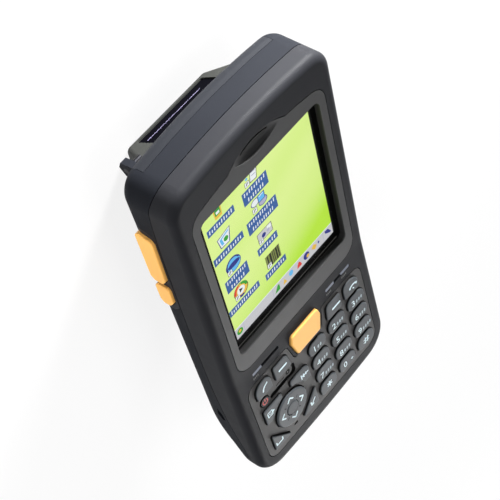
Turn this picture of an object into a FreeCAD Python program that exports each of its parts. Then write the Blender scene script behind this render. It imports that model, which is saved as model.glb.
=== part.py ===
import FreeCAD, Part
import math
import os
from FreeCAD import Placement, Rotation
from FreeCAD import Vector as V

os.makedirs("parts", exist_ok=True)

# Overall sizes, millimetres. The row lies on its back: X right, Y toward the scan head, Z out of the screen.
HALF_W = 38.5
Y_TOP = 82.6
Y_BOTTOM = -82.6
Z_FACE = 39.0
TOP_SAG = 3.2
BOTTOM_SAG = 1.6
TOP_CORNER_R = 9.0
BOTTOM_CORNER_R = 12.0
FRONT_EDGE_R = 3.0
REAR_EDGE_R = 5.0
WALL = 1.8
FRONT_PLATE = 2.2
SEAM_GAP = 0.25
FIT = 0.12
GROOVE = 0.3

# The keypad face rises toward the lower end.
Y_FOLD = -19.75
TILT = 2.5
FOLD_R = 60.0

# Rear profile, as points of the side view.
REAR_TOP_Z = 15.9
REAR_KNEE = (-46.0, 20.5)
REAR_MID = (-56.2, 22.3)
REAR_BEVEL = (-65.5, 26.6)
REAR_END_Z = 36.0

# Housing parting line in the side view.
SEAM = [(86, 30.4), (80, 30.7), (73.8, 29.3), (62.7, 28.1), (28, 27.6), (-5.3, 27.9), (-36.8, 29.6),
        (-51.2, 31.8), (-61.4, 34.4), (-73, 36.9), (-86, 38.6)]

# Display.
OPEN_HALF_W = 29.8
OPEN_Y0 = -9.55
OPEN_Y1 = 62.9
OPEN_R = 3.0
BEZEL_HALF_W = 33.2
BEZEL_Y0 = -18.65
BEZEL_SIDE_Y1 = 67.2
BEZEL_TOP_Y = 71.3
BEZEL_T = 1.2
WELL_WALL = 1.1
GLASS_TOP_Z = 36.4
GLASS_T = 1.1
EAR_HALF_W = 12.4
EAR_TOP_Y = 75.2

# Keypad, in the flat frame of the tilted face: x right, v up the face, w outward.
PANEL_HALF_W = 33.2
PANEL_V0 = -55.2
PANEL_V1 = -8.4
PANEL_T = 1.2
LEDGE = 0.8
NOTCH_TOP = 10.0
NOTCH_BOTTOM = 7.9
NOTCH_V = -17.9
KEY_GAP = 0.3
KEY_TRAVEL = 0.5
KEY_HEIGHT = 0.8
KEY_FLANGE = 0.35
FLANGE_TOP = -1.5
FLANGE_T = 0.6
STEM_R = 1.3
STEM_END = -3.6
DOME_TOP = -4.2
DOME_T = 0.12
PAD_BOARD_T = 1.0
COLS = (2.95, 14.75, 26.55)
ROWS = (-22.8, -31.35, -39.9, -48.45)
NUM_W = 10.2
NUM_H = 7.3
NAV = (-16.8, -38.5)
NAV_R = 8.75
NAV_CENTRE_R = 3.0

# Side keys on the left wall.
SIDE_PROUD = 1.1
SIDE_TRAVEL = 0.5
PIVOT_R = 0.7

# Battery well.
BAT_HALF_W = 27.0
BAT_Y0 = -40.0
BAT_Y1 = 21.5
BAT_TOP = 25.4
BAT_CLEAR = 0.3
WELL_T = 1.0

# Fixings.
SCREWS = [(-32.8, 68.5), (32.8, 68.5), (-32.8, -23.0), (32.8, -23.0)]
SCREW_R = 1.0
HEAD_R = 1.9
BOSS_R = 2.7

KEYFRAME = Placement(V(0, Y_FOLD, Z_FACE), Rotation(V(1, 0, 0), -TILT))


def box(x0, x1, y0, y1, z0, z1):
    """Box between two corners."""
    return Part.makeBox(x1 - x0, y1 - y0, z1 - z0, V(x0, y0, z0))


def cyl(x, y, z0, z1, r):
    """Upright cylinder between two heights."""
    return Part.makeCylinder(r, z1 - z0, V(x, y, z0))


def rounded(points, radii):
    """Closed wire through the corners, each rounded by a tangent arc of its radius."""
    n = len(points)
    pts = [V(p[0], p[1], 0) for p in points]
    ins, outs, mids = [], [], []
    for i in range(n):
        p, a, b = pts[i], pts[i - 1], pts[(i + 1) % n]
        r = radii[i] if isinstance(radii, (list, tuple)) else radii
        da = (a - p).normalize()
        db = (b - p).normalize()
        half = da.getAngle(db) / 2
        cut = r / math.tan(half)
        centre_dir = (da + db).normalize()
        ins.append(p + da * cut)
        outs.append(p + db * cut)
        mids.append(p + centre_dir * (r / math.sin(half) - r))
    edges = []
    for i in range(n):
        if (outs[i] - ins[i]).Length > 1e-6:
            edges.append(Part.Arc(ins[i], mids[i], outs[i]).toShape())
        if (ins[(i + 1) % n] - outs[i]).Length > 1e-6:
            edges.append(Part.LineSegment(outs[i], ins[(i + 1) % n]).toShape())
    return Part.Wire(edges)


def prism(points, radii, z0, z1, grow=0.0):
    """Upright prism on a rounded outline, grown outward by an offset."""
    face = Part.Face(rounded(points, radii))
    if grow:
        face = face.makeOffset2D(grow)
    face.translate(V(0, 0, z0))
    return face.extrude(V(0, 0, z1 - z0)).Solids[0]


def rect(x0, x1, y0, y1):
    """Corners of a rectangle, anticlockwise."""
    return [(x0, y0), (x1, y0), (x1, y1), (x0, y1)]


def side_prism(points, x0, x1):
    """Prism on a side-view outline (y, z) between two x values."""
    pts = [V(x0, y, z) for y, z in points]
    return Part.Face(Part.makePolygon(pts + [pts[0]])).extrude(V(x1 - x0, 0, 0))


def plan_solid(inset):
    """The outline seen from the front, with arched ends and round corners."""
    w = HALF_W - inset
    yt = Y_TOP - inset
    yb = Y_BOTTOM + inset
    a, b = V(-w, yb + BOTTOM_SAG, 5), V(-w, yt - TOP_SAG, 5)
    c, d = V(w, yt - TOP_SAG, 5), V(w, yb + BOTTOM_SAG, 5)
    wire = Part.Wire([Part.LineSegment(a, b).toShape(), Part.Arc(b, V(0, yt, 5), c).toShape(),
                      Part.LineSegment(c, d).toShape(), Part.Arc(d, V(0, yb, 5), a).toShape()])
    solid = Part.Face(wire).extrude(V(0, 0, 50))
    for top, radius in ((True, TOP_CORNER_R - inset), (False, BOTTOM_CORNER_R - inset)):
        edges = [e for e in solid.Edges
                 if abs(e.CenterOfMass.z - 30) < 0.1 and abs(abs(e.CenterOfMass.x) - w) < 1e-3
                 and (e.CenterOfMass.y > 60 if top else e.CenterOfMass.y < -60)]
        solid = solid.makeFillet(radius, edges)
    return solid


def profile_solid(inset, front_inset):
    """The side view: flat display face, rising keypad face, sloping back and lower bevel."""
    t = math.tan(math.radians(TILT))
    zf = Z_FACE - front_inset
    half = FOLD_R * math.tan(math.radians(TILT / 2))
    y_end = Y_BOTTOM - 2
    p0, p1 = V(-60, Y_TOP + 2, zf), V(-60, Y_FOLD + half, zf)
    p3 = V(-60, Y_FOLD - half * math.cos(math.radians(TILT)), zf + half * math.sin(math.radians(TILT)))
    mid = V(-60, Y_FOLD, zf + half * math.tan(math.radians(TILT / 4)))
    p4 = V(-60, y_end, zf + (Y_FOLD - y_end) * t)
    r0 = V(-60, y_end, REAR_END_Z + inset * 1.1)
    r1 = V(-60, REAR_BEVEL[0], REAR_BEVEL[1] + inset * 1.1)
    rm = V(-60, REAR_MID[0], REAR_MID[1] + inset * 1.05)
    r2 = V(-60, REAR_KNEE[0], REAR_KNEE[1] + inset)
    r3 = V(-60, Y_TOP + 2, REAR_TOP_Z + inset)
    edges = [Part.LineSegment(p0, p1).toShape(), Part.Arc(p1, mid, p3).toShape(),
             Part.LineSegment(p3, p4).toShape(), Part.LineSegment(p4, r0).toShape(),
             Part.LineSegment(r0, r1).toShape(), Part.Arc(r1, rm, r2).toShape(),
             Part.LineSegment(r2, r3).toShape(), Part.LineSegment(r3, p0).toShape()]
    return Part.Face(Part.Wire(edges)).extrude(V(120, 0, 0))


def face_height(y, front_inset):
    """Height of the front face at y, for picking its edges."""
    return Z_FACE - front_inset + max(0.0, Y_FOLD - y) * math.tan(math.radians(TILT))


def body(inset, front_inset, front_r, rear_r):
    """Plan and side view together, with the front and rear edges rounded."""
    solid = plan_solid(inset).common(profile_solid(inset, front_inset)).removeSplitter()

    def across(e):
        a, b = e.Vertexes[0], e.Vertexes[-1]
        return abs(e.CenterOfMass.x) < 1 and abs(a.Y - b.Y) < 1e-3 and abs(e.CenterOfMass.y) < 79

    front = [e for e in solid.Edges if not across(e)
             and all(abs(v.Z - face_height(v.Y, front_inset)) < 0.1 for v in e.Vertexes)]
    solid = solid.makeFillet(front_r, front)
    limit = Z_FACE - front_inset - front_r - 0.5
    rear = [e for e in solid.Edges if not across(e) and min(v.Z for v in e.Vertexes) < limit - 0.5
            and max(v.Z for v in e.Vertexes) < 38.2
            and abs(e.Vertexes[0].X - e.Vertexes[-1].X) + abs(e.Vertexes[0].Y - e.Vertexes[-1].Y) > 1e-3]
    return solid.makeFillet(rear_r, rear)


def seam_side(above, shift):
    """Everything above or below the parting line, moved by a shift."""
    curve = Part.BSplineCurve()
    curve.interpolate([V(-60, y, z + shift) for y, z in SEAM])
    a, b = V(-60, SEAM[0][0], SEAM[0][1] + shift), V(-60, SEAM[-1][0], SEAM[-1][1] + shift)
    z = 70 if above else -10
    c, d = V(-60, b.y, z), V(-60, a.y, z)
    wire = Part.Wire([curve.toShape(), Part.LineSegment(b, c).toShape(),
                      Part.LineSegment(c, d).toShape(), Part.LineSegment(d, a).toShape()])
    return Part.Face(wire).extrude(V(120, 0, 0))


def keyed(shape):
    """Move a shape from the flat keypad frame onto the tilted face."""
    moved = shape.copy()
    moved.Placement = KEYFRAME.multiply(moved.Placement)
    return moved


def save(name, shape):
    """Write one node, one solid after another, with the side keys' reach shared out in X."""
    solids = [s.translated(V(SIDE_PROUD / 2, 0, 0)) for s in shape.Solids]
    shape = solids[0] if len(solids) == 1 else Part.makeCompound(solids)
    shape.exportStep("parts/%s.step" % name)


OUTER = body(0.0, 0.0, FRONT_EDGE_R, REAR_EDGE_R)
INNER = body(WALL, FRONT_PLATE, 1.2, REAR_EDGE_R - WALL)
SKIN = body(1.0, 1.0, 2.0, REAR_EDGE_R - 1.0)
SHELL = OUTER.cut(INNER)


def arch_outline(half_w, y0, side_y, top_y, corner, grow, z0, z1):
    """Bezel outline: straight sides and foot, arched head, rounded corners."""
    w = half_w + grow
    a, b = V(-w, y0 - grow, z0), V(-w, side_y + grow, z0)
    c, d = V(w, side_y + grow, z0), V(w, y0 - grow, z0)
    wire = Part.Wire([Part.LineSegment(a, b).toShape(), Part.Arc(b, V(0, top_y + grow, z0), c).toShape(),
                      Part.LineSegment(c, d).toShape(), Part.LineSegment(d, a).toShape()])
    solid = Part.Face(wire).extrude(V(0, 0, z1 - z0))
    edges = [e for e in solid.Edges if abs(e.Vertexes[0].Z - e.Vertexes[-1].Z) > 0.1]
    return solid.makeFillet(corner + grow, edges)


def ear_outline(grow, z0, z1):
    """The bulge of the bezel around the earpiece."""
    w = EAR_HALF_W + 2.2 + grow
    a, b = V(-w, 66, z0), V(-w, 70.4 + grow, z0)
    c, d = V(w, 70.4 + grow, z0), V(w, 66, z0)
    wire = Part.Wire([Part.LineSegment(a, b).toShape(),
                      Part.Arc(b, V(0, EAR_TOP_Y + grow, z0), c).toShape(),
                      Part.LineSegment(c, d).toShape(), Part.LineSegment(d, a).toShape()])
    return Part.Face(wire).extrude(V(0, 0, z1 - z0))


def bezel_shape(grow, z0, z1):
    """Bezel outline with its earpiece bulge."""
    frame = arch_outline(BEZEL_HALF_W, BEZEL_Y0, BEZEL_SIDE_Y1, BEZEL_TOP_Y, 7.0, grow, z0, z1)
    return frame.fuse(ear_outline(grow, z0, z1)).removeSplitter()


def panel_points(grow):
    """Keypad panel outline with the notch for the scan key, grown outward."""
    w = PANEL_HALF_W + grow
    v0, v1 = PANEL_V0 - grow, PANEL_V1 + grow
    nt, nb, nv = NOTCH_TOP - grow, NOTCH_BOTTOM - grow, NOTCH_V + max(grow, -0.35)
    points = [(-w, v0), (w, v0), (w, v1), (nt, v1), (nb, nv), (-nb, nv), (-nt, v1), (-w, v1)]
    radii = [5.5, 5.5, 4.5, 1.6, 1.6, 1.6, 1.6, 4.5]
    return points, radii


def panel_shape(grow, w0, w1):
    """Keypad panel prism in the flat keypad frame."""
    points, radii = panel_points(grow)
    return prism(points, radii, w0, w1)


# Key outlines in the flat keypad frame: corner points and corner radii.
CALL = ([(-30.3, -18.0), (-21.2, -18.0), (-21.2, -9.9), (-30.3, -9.9)], [1.0, 1.0, 3.2, 4.4])
SOFT_LEFT = ([(-19.9, -18.1), (-10.3, -18.1), (-11.4, -10.1), (-19.9, -10.1)], [1.0, 1.2, 2.2, 1.0])
SOFT_RIGHT = ([(10.3, -18.1), (19.9, -18.1), (19.9, -10.1), (11.4, -10.1)], [1.2, 1.0, 1.0, 2.2])
END = ([(21.2, -18.0), (30.3, -18.0), (30.3, -9.9), (21.2, -9.9)], [1.0, 1.0, 4.4, 3.2])
LOCK = ([(-30.0, -34.2), (-19.0, -34.2), (-19.0, -25.4), (-30.0, -25.4)], [0.8, 0.8, 1.2, 1.0])
BACK = ([(-14.6, -34.2), (-3.6, -34.2), (-3.6, -25.4), (-14.6, -25.4)], [0.8, 0.8, 3.2, 1.2])
SPACE = ([(-30.2, -51.4), (-19.6, -51.4), (-30.2, -40.8)], [1.0, 0.8, 0.8])
ENTER = ([(-14.0, -51.4), (-3.4, -51.4), (-3.4, -40.8)], [0.8, 1.0, 0.8])
SCAN = ([(-6.5, -16.9), (6.5, -16.9), (8.4, -9.2), (7.4, -5.6), (-7.4, -5.6), (-8.4, -9.2)],
        [1.0, 1.0, 1.4, 1.6, 1.6, 1.4])
NAV_LAND = 1.25

NUMBERS = {}
for row, names in enumerate((("key_1", "key_2", "key_3"), ("key_4", "key_5", "key_6"),
                             ("key_7", "key_8", "key_9"), ("key_star", "key_0", "key_hash"))):
    for col, name in enumerate(names):
        cx, cv = COLS[col], ROWS[row]
        pts = rect(cx - NUM_W / 2, cx + NUM_W / 2, cv - NUM_H / 2, cv + NUM_H / 2)
        NUMBERS[name] = (pts, [2.4, 2.4, 3.5, 3.5])

PLAIN = {"key_call": CALL, "key_soft_left": SOFT_LEFT, "key_soft_right": SOFT_RIGHT, "key_end": END,
         "key_lock": LOCK, "key_back": BACK, "key_space": SPACE, "key_enter": ENTER}
PLAIN.update(NUMBERS)
SCALLOPED = ("key_lock", "key_back")


def key_blank(name, grow, w0, w1):
    """Prism of one key outline; the keys beside the disc are scooped by it."""
    points, radii = PLAIN[name]
    solid = prism(points, radii, w0, w1, grow)
    if name in SCALLOPED:
        solid = solid.cut(cyl(NAV[0], NAV[1], w0 - 1, w1 + 1, NAV_R + NAV_LAND - grow)).Solids[0]
    return solid


def softened(solid, w, size):
    """Round the upper rim of a key."""
    rim = [e for e in solid.Edges if all(abs(v.Z - w) < 1e-4 for v in e.Vertexes)]
    try:
        return solid.makeFillet(size, rim)
    except Exception:
        return solid.makeChamfer(size * 0.5, rim)


def key_centre(name):
    """Middle of a key outline, where its stem stands."""
    face = key_blank(name, -KEY_GAP, 0, 1)
    return face.CenterOfMass.x, face.CenterOfMass.y


# Number, soft and corner keys: cap above the panel, flange under it, stem to the dome.
for name in PLAIN:
    cap = softened(key_blank(name, -KEY_GAP, FLANGE_TOP, KEY_HEIGHT), KEY_HEIGHT, 0.45)
    flange = key_blank(name, KEY_FLANGE, FLANGE_TOP - FLANGE_T, FLANGE_TOP)
    x, v = key_centre(name)
    stem = cyl(x, v, STEM_END, FLANGE_TOP, STEM_R)
    save(name, keyed(cap.fuse([flange, stem]).removeSplitter()))

# Navigation ring and its centre button.
ring = cyl(NAV[0], NAV[1], FLANGE_TOP, 1.1, NAV_R - KEY_GAP)
ring = ring.fuse(cyl(NAV[0], NAV[1], FLANGE_TOP - FLANGE_T, FLANGE_TOP, NAV_R + KEY_FLANGE))
outer_rim = [e for e in ring.Edges if abs(e.CenterOfMass.z - 1.1) < 1e-4]
ring = ring.makeFillet(0.7, outer_rim)
for a in (0, 90, 180, 270):
    r = 6.0
    px = NAV[0] + r * math.cos(math.radians(a))
    pv = NAV[1] + r * math.sin(math.radians(a))
    ring = ring.fuse(cyl(px, pv, STEM_END, FLANGE_TOP, 0.9))
ring = ring.cut(cyl(NAV[0], NAV[1], -5, 5, NAV_CENTRE_R + KEY_GAP))
ring = ring.cut(cyl(NAV[0], NAV[1], -5, FLANGE_TOP + 0.5, NAV_CENTRE_R + 0.5 + KEY_GAP))
save("nav_ring", keyed(ring.removeSplitter()))
centre = softened(cyl(NAV[0], NAV[1], FLANGE_TOP, 1.3, NAV_CENTRE_R), 1.3, 0.4)
centre = centre.fuse([cyl(NAV[0], NAV[1], FLANGE_TOP - FLANGE_T, FLANGE_TOP, NAV_CENTRE_R + 0.5),
                      cyl(NAV[0], NAV[1], STEM_END, FLANGE_TOP, STEM_R)])
save("nav_centre", keyed(centre.removeSplitter()))

# Power button: a small round key beside the long recess.
POWER = (-26.9, -21.6)
POWER_R = 2.3
power = softened(cyl(POWER[0], POWER[1], FLANGE_TOP, 0.3, POWER_R), 0.3, 0.35)
power = power.fuse([cyl(POWER[0], POWER[1], FLANGE_TOP - FLANGE_T, FLANGE_TOP, POWER_R + 0.4),
                    cyl(POWER[0], POWER[1], STEM_END, FLANGE_TOP, STEM_R)])
save("key_power", keyed(power.removeSplitter()))

# Front scan key, through the front housing in the notch of the panel.
SCAN_FLANGE_TOP = -FRONT_PLATE - 0.3
points, radii = SCAN
scan_cap = softened(prism(points, radii, SCAN_FLANGE_TOP, 1.0), 1.0, 0.6)
scan_flange = prism(points, radii, SCAN_FLANGE_TOP - FLANGE_T, SCAN_FLANGE_TOP, 0.9)
scan_stem = cyl(0, -11.5, STEM_END, SCAN_FLANGE_TOP, STEM_R)
save("key_scan", keyed(scan_cap.fuse([scan_flange, scan_stem]).removeSplitter()))

# Keypad panel with its key openings, long recess, small hole and microphone slot.
panel = panel_shape(-GROOVE, -PANEL_T, 0.0)
for name in PLAIN:
    panel = panel.cut(key_blank(name, 0.0, -3, 2))
panel = panel.cut(cyl(NAV[0], NAV[1], -3, 2, NAV_R))
panel = panel.cut(cyl(POWER[0], POWER[1], -3, 2, POWER_R + KEY_GAP))
recess = prism(rect(-24.0, -9.2, -24.2, -21.9), 1.1, -0.7, 1).fuse(
    prism(rect(-11.5, -9.2, -24.2, -18.8), 1.1, -0.7, 1)).cut(cyl(-12.6, -20.4, -1, 2, 1.9))
panel = panel.cut(recess)
panel = panel.cut(cyl(-12.6, -20.4, -3, 2, 0.7))
panel = panel.cut(prism(rect(-17.9, -15.7, -50.5, -49.5), 0.45, -3, 2))
save("keypad_panel", keyed(panel.removeSplitter()))

# Dome sheet and keypad board.
dome_sheet = prism(rect(-32.0, 32.0, -54.0, -7.4), 2.0, DOME_TOP - DOME_T, DOME_TOP)
pad_board = prism(rect(-35.0, 35.0, -57.0, -6.8), [6.5, 6.5, 3.0, 3.0], DOME_TOP - DOME_T - PAD_BOARD_T, DOME_TOP - DOME_T)
save("dome_sheet", keyed(dome_sheet))
save("keypad_board", keyed(pad_board))
mic = cyl(-16.8, -50.0, DOME_TOP, DOME_TOP + 1.6, 1.4)
save("microphone", keyed(mic))

# Display bezel: plate, display well and the scooped earpiece with its slot.
bezel = bezel_shape(-GROOVE, Z_FACE - BEZEL_T, Z_FACE)
well = prism(rect(-OPEN_HALF_W, OPEN_HALF_W, OPEN_Y0, OPEN_Y1), OPEN_R, GLASS_TOP_Z + 0.1,
             Z_FACE - BEZEL_T, WELL_WALL)
bezel = bezel.fuse(well)
opening = prism(rect(-OPEN_HALF_W, OPEN_HALF_W, OPEN_Y0, OPEN_Y1), OPEN_R, 30, 45)
bezel = bezel.cut(opening)
EAR_SPHERE = 60.0
EAR_DEPTH = 0.95
scoop = Part.makeSphere(EAR_SPHERE, V(0, 66.9 + 4.6, Z_FACE - EAR_DEPTH + EAR_SPHERE))
scoop = scoop.common(cyl(0, 84.6, 30, 45, 17.0)).common(box(-12.6, 12.6, 66.5, 78, 30, 45))
bezel = bezel.cut(scoop)
slot = Part.Wire([Part.Arc(V(-6.6, 72.9, 30), V(0, 73.7, 30), V(6.6, 72.9, 30)).toShape(),
                  Part.LineSegment(V(6.6, 72.9, 30), V(6.6, 72.3, 30)).toShape(),
                  Part.Arc(V(6.6, 72.3, 30), V(0, 73.1, 30), V(-6.6, 72.3, 30)).toShape(),
                  Part.LineSegment(V(-6.6, 72.3, 30), V(-6.6, 72.9, 30)).toShape()])
ear_slot = Part.Face(slot).extrude(V(0, 0, 15))
bezel = bezel.cut(ear_slot)
save("display_bezel", bezel.removeSplitter())

# Touch panel, display module and the gasket between them and the bezel.
touch = box(-31.6, 31.6, -12.4, 64.4, GLASS_TOP_Z - GLASS_T, GLASS_TOP_Z)
save("touch_panel", touch)
gasket = prism(rect(-31.0, 31.0, -11.8, 64.0), 1.5, GLASS_TOP_Z, GLASS_TOP_Z + 0.1).cut(
    prism(rect(-OPEN_HALF_W, OPEN_HALF_W, OPEN_Y0, OPEN_Y1), OPEN_R, 30, 45, 0.1))
save("display_gasket", gasket)
LCD_Z0 = 31.2
lcd = box(-31.2, 31.2, -12.0, 64.0, LCD_Z0, GLASS_TOP_Z - GLASS_T)
save("display_module", lcd)

# Main board and what stands on it.
BOARD_Z = 29.2
BOARD_T = 1.0
main_board = prism(rect(-29.5, 29.5, -46.0, 75.5), 2.0, BOARD_Z - BOARD_T, BOARD_Z)
save("main_board", main_board)
save("board_to_display_frame", prism(rect(-29.0, 29.0, -10.0, 62.0), 1.0, BOARD_Z, LCD_Z0).cut(
    prism(rect(-26.0, 26.0, -7.0, 59.0), 1.0, BOARD_Z - 1, LCD_Z0 + 1)))
save("backup_cell", cyl(18.0, -28.0, BOARD_Z, BOARD_Z + 2.6, 6.0))
save("vibration_motor", box(-24.0, -13.0, -33.0, -27.0, BOARD_Z, BOARD_Z + 3.6))
save("processor_shield", prism(rect(-20.0, 20.0, 8.0, 48.0), 0.8, BOARD_Z, BOARD_Z + 1.6))
save("antenna", prism(rect(8.0, 27.0, 67.5, 74.5), 0.8, BOARD_Z, BOARD_Z + 4.5))
save("earpiece", prism(rect(-8.0, 8.0, 66.2, 76.2), 2.0, 33.0, Z_FACE - FRONT_PLATE))
save("keypad_connector", box(-6.0, 6.0, -31.5, -28.5, BOARD_Z, 36.0).cut(keyed(pad_board)).cut(
    keyed(box(-40, 40, -60, 0, DOME_TOP - DOME_T - PAD_BOARD_T, 5))))

# Status lights in their slots above the keypad panel.
LIGHT_V0 = -4.7
LIGHT_V1 = -3.1
LEFT_SLOT = (-27.8, -13.4)
RIGHT_SLOT = (14.2, 28.2)
lights = []
for x0, x1 in ((-27.8, -22.8), (14.2, 19.2), (23.2, 28.2)):
    lights.append(keyed(prism(rect(x0 + 0.08, x1 - 0.08, LIGHT_V0 + 0.08, LIGHT_V1 - 0.08), 0.3, -2.2, -0.1)))
save("status_lights", Part.makeCompound(lights))

# Front housing.
front = SHELL.common(seam_side(True, 0.0))
front = front.cut(bezel_shape(0.0, Z_FACE - BEZEL_T, Z_FACE + 3))
front = front.cut(prism(rect(-32.2, 32.2, -12.6, 65.4), 2.0, 30, Z_FACE))
front = front.cut(keyed(panel_shape(0.0, -PANEL_T, 4)))
front = front.cut(keyed(panel_shape(-LEDGE, -9, 1)))
front = front.cut(keyed(prism(points, radii, -9, 4, KEY_GAP)))
for x0, x1 in (LEFT_SLOT, RIGHT_SLOT):
    front = front.cut(keyed(prism(rect(x0, x1, LIGHT_V0, LIGHT_V1), 0.35, -2.2, 4)))
front = front.cut(ear_slot)
under = Z_FACE - FRONT_PLATE
for x, y in SCREWS:
    top = face_height(y, FRONT_PLATE) + 0.6
    boss = cyl(x, y, 25, top, BOSS_R).common(seam_side(True, 0.0))
    front = front.fuse(boss.common(OUTER))
for sx in (-1, 1):
    for v in (-9.5, -46.0):
        front = front.fuse(keyed(cyl(sx * 34.2, v, DOME_TOP - DOME_T, -1.9, 1.0)).common(OUTER))
for x, y in SCREWS:
    front = front.cut(cyl(x, y, 20, face_height(y, FRONT_PLATE) - 0.8, SCREW_R - 0.1))
front = front.removeSplitter()
save("front_housing", front)

# Rear housing with the battery well, the strip band, the side key bay and bosses.
rear = SHELL.common(seam_side(False, -SEAM_GAP))
tray = box(-BAT_HALF_W - BAT_CLEAR - WELL_T, BAT_HALF_W + BAT_CLEAR + WELL_T, BAT_Y0 - BAT_CLEAR - WELL_T,
           BAT_Y1 + BAT_CLEAR + WELL_T, 10, BAT_TOP + BAT_CLEAR + WELL_T)
well_space = box(-BAT_HALF_W - BAT_CLEAR, BAT_HALF_W + BAT_CLEAR, BAT_Y0 - BAT_CLEAR, BAT_Y1 + BAT_CLEAR,
                 5, BAT_TOP + BAT_CLEAR)
rear = rear.fuse(tray.common(OUTER))
rear = rear.cut(well_space)
for x, y in SCREWS:
    rear = rear.fuse(cyl(x, y, 12, 40, BOSS_R).common(seam_side(False, -SEAM_GAP)).common(OUTER))
for x, y in ((-20, 70), (20, 70), (-24, -44), (24, -44)):
    rear = rear.fuse(cyl(x, y, 12, BOARD_Z - BOARD_T, 1.6).common(OUTER))

# Head strip: a band let into the rear top edge.
STRIP_HALF = 31.2
band = box(-STRIP_HALF, STRIP_HALF, 77.2, 86, 8, 22.8)
strip = OUTER.cut(SKIN).common(band)
strip_space = OUTER.cut(SKIN).common(box(-STRIP_HALF - FIT, STRIP_HALF + FIT, 77.2 - FIT, 86, 8, 22.8 + FIT))
rear = rear.cut(strip_space)
save("head_strip", strip)

# Side key bay on the left wall.
SIDE_PTS = {"side_rocker": ([(58.2, 20.2), (57.0, 25.4), (55.6, 26.2), (36.2, 25.9), (33.9, 24.2), (33.9, 20.8),
                             (35.6, 19.2), (56.6, 18.8)], 0.9),
            "side_key": ([(31.7, 20.9), (31.7, 24.9), (30.6, 25.7), (24.0, 25.7), (21.2, 23.7), (21.2, 21.0),
                          (23.0, 19.6), (30.2, 19.4)], 0.8)}


def side_blank(pts, r, x0, x1, grow=0.0):
    """Prism on a (y, z) outline between two x values."""
    face = Part.Face(rounded(pts, r))
    if grow:
        face = face.makeOffset2D(grow)
    solid = face.extrude(V(0, 0, x1 - x0)).Solids[0]
    turn = Rotation(V(0, 1, 0), V(0, 0, 1), V(1, 0, 0), "ZXY")
    solid.Placement = Placement(V(x0, 0, 0), turn)
    return solid


BAY = ([(60.4, 18.0), (60.4, 23.5), (58.6, 26.9), (21.5, 26.9), (18.9, 24.6), (18.9, 20.0), (21.0, 18.0)], 1.0)
bay_skin = OUTER.cut(SKIN).common(side_blank(BAY[0], BAY[1], -45, -35.2))
bay_space = OUTER.cut(SKIN).common(side_blank(BAY[0], BAY[1], -45, -35.1, FIT))
rear = rear.cut(bay_space)
surround = bay_skin
for name in SIDE_PTS:
    pts, r = SIDE_PTS[name]
    surround = surround.cut(side_blank(pts, r, -45, -30, 0.35))
    rear = rear.cut(side_blank(pts, r, -45, -33, 0.4))
PIVOT_X = -35.6
PIVOT_Y = 46.0
pivot_hole = cyl(PIVOT_X, PIVOT_Y, 17.7, 27.4, PIVOT_R + 0.06)
surround = surround.cut(pivot_hole)
rear = rear.cut(pivot_hole)
save("side_key_surround", surround.removeSplitter())
pts, r = SIDE_PTS["side_rocker"]
rocker = side_blank(pts, r, -HALF_W - SIDE_PROUD, -35.4)
rim = [e for e in rocker.Edges if all(abs(v.X + HALF_W + SIDE_PROUD) < 1e-4 for v in e.Vertexes)]
rocker = rocker.makeFillet(0.5, rim)
rocker = rocker.fuse(box(-35.4, -34.6, 34.6, 57.4, 20.4, 24.9))
rocker = rocker.fuse(cyl(PIVOT_X, PIVOT_Y, 18.0, 27.1, PIVOT_R))
save("side_rocker", rocker.removeSplitter())
pts, r = SIDE_PTS["side_key"]
side_key = side_blank(pts, r, -HALF_W - SIDE_PROUD + 0.2, -35.4)
rim = [e for e in side_key.Edges if all(abs(v.X + HALF_W + SIDE_PROUD - 0.2) < 1e-4 for v in e.Vertexes)]
side_key = side_key.makeFillet(0.45, rim)
side_key = side_key.fuse(box(-35.4, -34.6, 22.0, 31.0, 20.5, 24.8))
save("side_key", side_key.removeSplitter())
side_board = box(-33.6, -32.8, 22.0, 58.0, 20.8, 27.0)
for y in (23.0, 57.0):
    rear = rear.fuse(box(-32.8, -31.6, y - 1.0, y + 1.0, 15.0, 26.5).common(OUTER))
for y, z in ((38.0, 22.7), (54.0, 22.7), (26.5, 22.7)):
    side_board = side_board.fuse(Part.makeCylinder(1.2, 0.35, V(-33.95, y, z), V(1, 0, 0)))
save("side_key_board", side_board.removeSplitter())

# Battery pack, its latch and its contacts.
battery = OUTER.common(box(-BAT_HALF_W, BAT_HALF_W, BAT_Y0, BAT_Y1, 5, BAT_TOP))
rim = [e for e in battery.Edges if all(abs(v.Z - BAT_TOP) < 1e-4 for v in e.Vertexes)]
battery = battery.makeFillet(0.8, rim)
save("battery_pack", battery.removeSplitter())
LATCH_Y0 = -47.6
LATCH_Y1 = BAT_Y0 - BAT_CLEAR - WELL_T - 0.3
LATCH_TRAVEL = 2.0
latch_box = box(-8.0, 8.0, LATCH_Y0, LATCH_Y1, 5, 26)
latch = OUTER.cut(INNER).common(latch_box)
for k in range(4):
    latch = latch.cut(Part.makeCylinder(0.35, 14.0, V(-7.0, LATCH_Y0 + 1.2 + 1.1 * k, 20.3 + 0.08 * k), V(1, 0, 0)))
latch = latch.fuse(box(-6.0, 6.0, LATCH_Y0 + 1, LATCH_Y1 - 0.5, 22.0, 23.2))
rear = rear.cut(box(-8.3, 8.3, LATCH_Y0 - LATCH_TRAVEL - 0.3, LATCH_Y1 + 0.2, 5, 21.4).fuse(
    box(-8.3, 8.3, LATCH_Y0 - LATCH_TRAVEL - 0.3, LATCH_Y1 + 0.2, 20, 24.5)))
save("battery_latch", latch.removeSplitter())
contacts = [box(x - 0.8, x + 0.8, 12.0, 15.0, BAT_TOP + BAT_CLEAR - 0.0, BOARD_Z - BOARD_T) for x in (-6, -2, 2, 6)]
for x in (-6, -2, 2, 6):
    rear = rear.cut(box(x - 1.0, x + 1.0, 11.8, 15.2, BAT_TOP - 1, BOARD_Z))
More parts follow.
